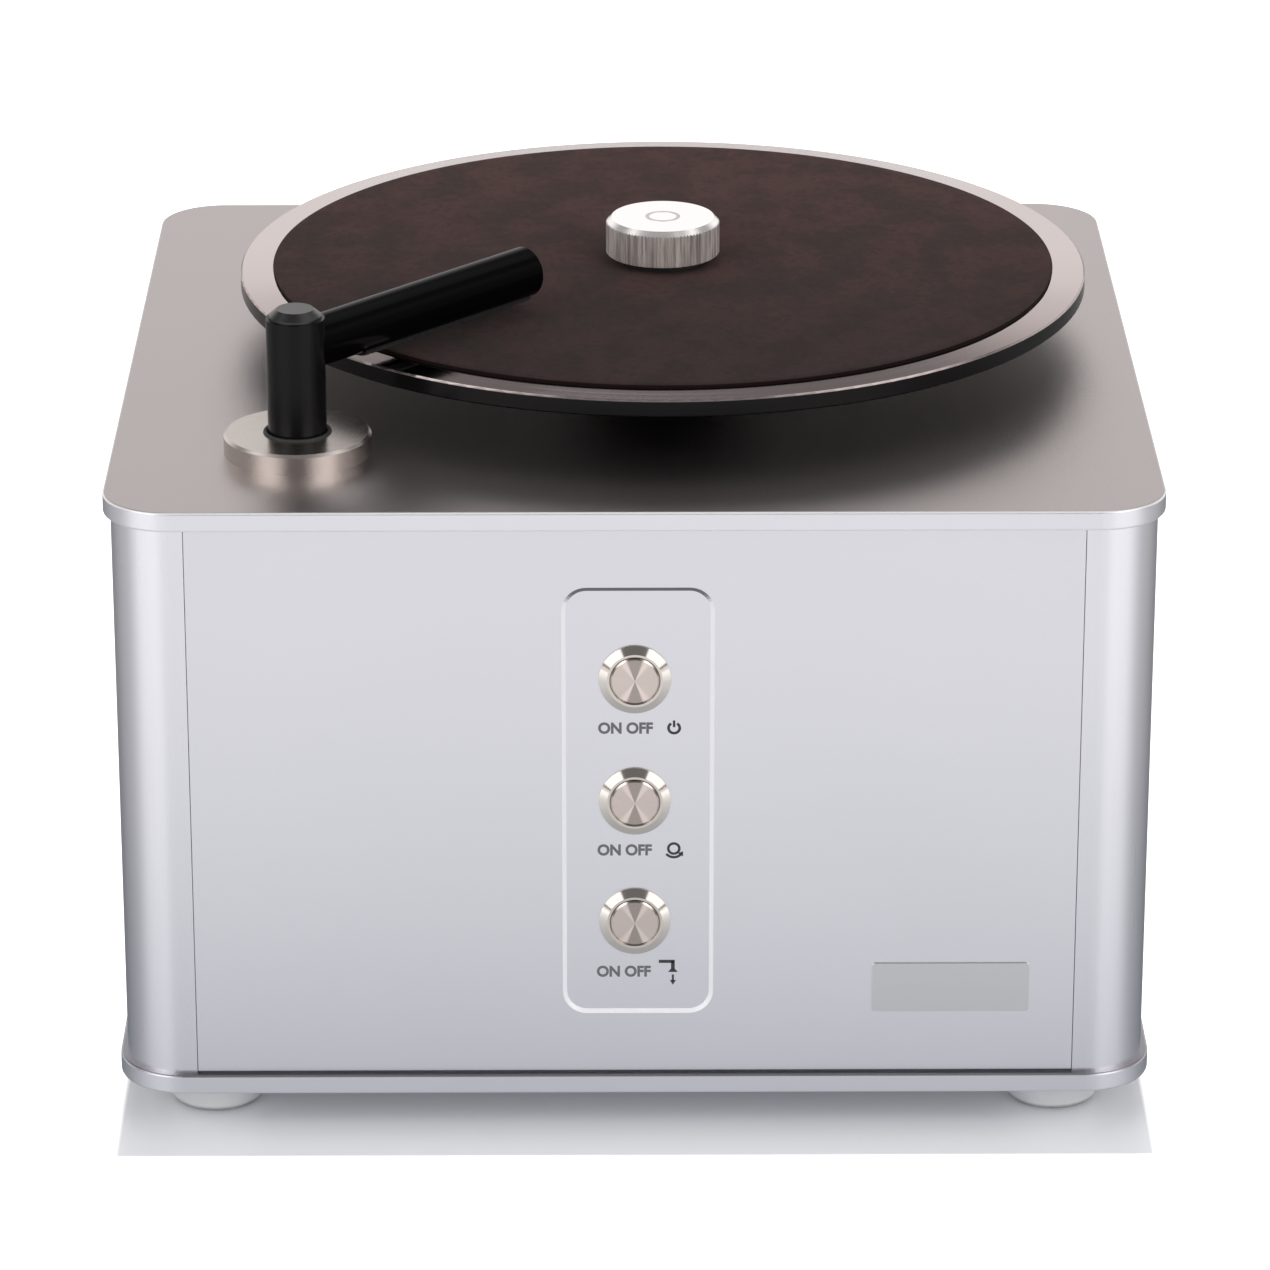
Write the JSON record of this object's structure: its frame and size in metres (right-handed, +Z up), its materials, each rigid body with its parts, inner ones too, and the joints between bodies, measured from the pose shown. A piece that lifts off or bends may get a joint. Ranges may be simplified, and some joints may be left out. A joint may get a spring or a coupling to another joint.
{
  "type": "record cleaning machine",
  "caption": "Vinyl record cleaning machine: flat metal case, turning platter with mat and screw-down clamp, swinging suction arm and three push buttons.",
  "frame": {"origin": "on the standing surface, under the middle of the whole machine's bounding box", "axes": "+X to the right seen from the front, +Y to the back, +Z up; the push buttons face -Y"},
  "size_m": [0.34, 0.3496, 0.2662],
  "materials": {
    "anodised": "satin silver anodised",
    "zinc_steel": "plain steel",
    "soft_foot": "pale translucent soft plastic",
    "stainless": "brushed, bright bevels",
    "satin_platter": "satin turned",
    "mat_felt": "dark brown-grey felt",
    "bearing_metal": "plain turned",
    "bronze": "plain turned",
    "black_rubber": "matt",
    "turned_metal": "fluted side, polished face",
    "black_anodised": "satin black anodised",
    "velvet": "short velvet pile",
    "black_plastic": "moulded",
    "tank_plastic": "milky polyethylene",
    "red_plastic": "moulded",
    "board_green": "board with parts"
  },
  "bodies": {
    "case": {"bottom_plate": "anodised", "corner_front_left": "anodised", "corner_front_right": "anodised", "corner_rear_right": "anodised", "corner_rear_left": "anodised", "front_panel": "anodised", "rear_panel": "anodised", "left_panel": "anodised", "right_panel": "anodised", "top_plate": "anodised", "tie_bolts": "zinc_steel", "foot_front_left": "soft_foot", "foot_front_right": "soft_foot", "foot_rear_right": "soft_foot", "foot_rear_left": "soft_foot", "foot_screws": "zinc_steel", "switch_power": "stainless", "switch_platter": "stainless", "switch_vacuum": "stainless", "switch_nuts": "zinc_steel", "bearing_housing": "bearing_metal", "bush_upper": "bronze", "bush_lower": "bronze", "thrust_washer": "bronze", "drive_belt": "black_rubber", "motor_bracket": "zinc_steel", "gear_motor": "zinc_steel", "arm_flange": "stainless", "arm_seal_ring": "black_rubber", "arm_sleeve": "black_plastic", "arm_spring": "zinc_steel", "waste_tank": "tank_plastic", "tank_lid": "tank_plastic", "suction_hose": "black_rubber", "vacuum_hose": "black_rubber", "vacuum_mount": "black_rubber", "vacuum_motor": "black_plastic", "drain_body": "black_plastic", "drain_hose": "black_rubber", "power_inlet": "black_plastic", "power_board": "board_green"},
    "platter": {"platter": "satin_platter", "platter_mat": "mat_felt", "spindle": "zinc_steel", "platter_pulley": "satin_platter"},
    "motor_drive": {"motor_pulley": "satin_platter", "motor_shaft": "zinc_steel"},
    "clamp_pad": {"clamp_pad": "black_rubber"},
    "clamp_knob": {"clamp_knob": "turned_metal"},
    "arm_carrier": {"arm_spring_seat": "zinc_steel"},
    "arm": {"arm_post": "black_anodised", "arm_cap": "black_anodised", "arm_tube": "black_anodised", "arm_end_plug": "black_anodised", "suction_lips": "velvet"},
    "button_power": {"button_power": "stainless"},
    "button_platter": {"button_platter": "stainless"},
    "button_vacuum": {"button_vacuum": "stainless"},
    "drain_lever": {"drain_plug": "red_plastic"}
  },
  "joints": [
    {"name": "platter_spin", "type": "hinge", "parent": "case", "child": "platter", "pos_m": [0.0107, 0.0156, 0.2175], "axis": [0, 0, 1], "continuous": true},
    {"name": "motor_spin", "type": "hinge", "parent": "case", "child": "motor_drive", "pos_m": [0.078, -0.0558, 0.1365], "axis": [0, 0, 1], "continuous": true},
    {"name": "clamp_lift", "type": "slide", "parent": "platter", "child": "clamp_pad", "axis": [0, 0, 1], "range_m": [0, 0.01]},
    {"name": "clamp_turn", "type": "hinge", "parent": "clamp_pad", "child": "clamp_knob", "pos_m": [0.0107, 0.0156, 0.2475], "axis": [0, 0, 1], "range_deg": [0, 3600]},
    {"name": "arm_drop", "type": "slide", "parent": "case", "child": "arm_carrier", "axis": [0, 0, 1], "range_m": [-0.0022, 0], "stiffness_N_per_m": 1000, "springref_m": 0.004, "deforming": ["arm_spring"]},
    {"name": "arm_swivel", "type": "hinge", "parent": "arm_carrier", "child": "arm", "pos_m": [-0.1092, -0.116, 0.2175], "axis": [0, 0, 1], "range_deg": [-70, 6]},
    {"name": "power_press", "type": "slide", "parent": "case", "child": "button_power", "axis": [0, 1, 0], "range_m": [0, 0.0015], "stiffness_N_per_m": 1200, "springref_m": -0.0015},
    {"name": "platter_press", "type": "slide", "parent": "case", "child": "button_platter", "axis": [0, 1, 0], "range_m": [0, 0.0015], "stiffness_N_per_m": 1200, "springref_m": -0.0015},
    {"name": "vacuum_press", "type": "slide", "parent": "case", "child": "button_vacuum", "axis": [0, 1, 0], "range_m": [0, 0.0015], "stiffness_N_per_m": 1200, "springref_m": -0.0015},
    {"name": "drain_turn", "type": "hinge", "parent": "case", "child": "drain_lever", "pos_m": [-0.086, 0.1618, 0.035], "axis": [0, 1, 0], "range_deg": [0, 90]}
  ],
  "couplings": [
    {"joint": "motor_spin", "follows": "platter_spin", "ratio": 3},
    {"joint": "clamp_lift", "follows": "clamp_turn", "m_per_rad": 0.00015915}
  ]
}
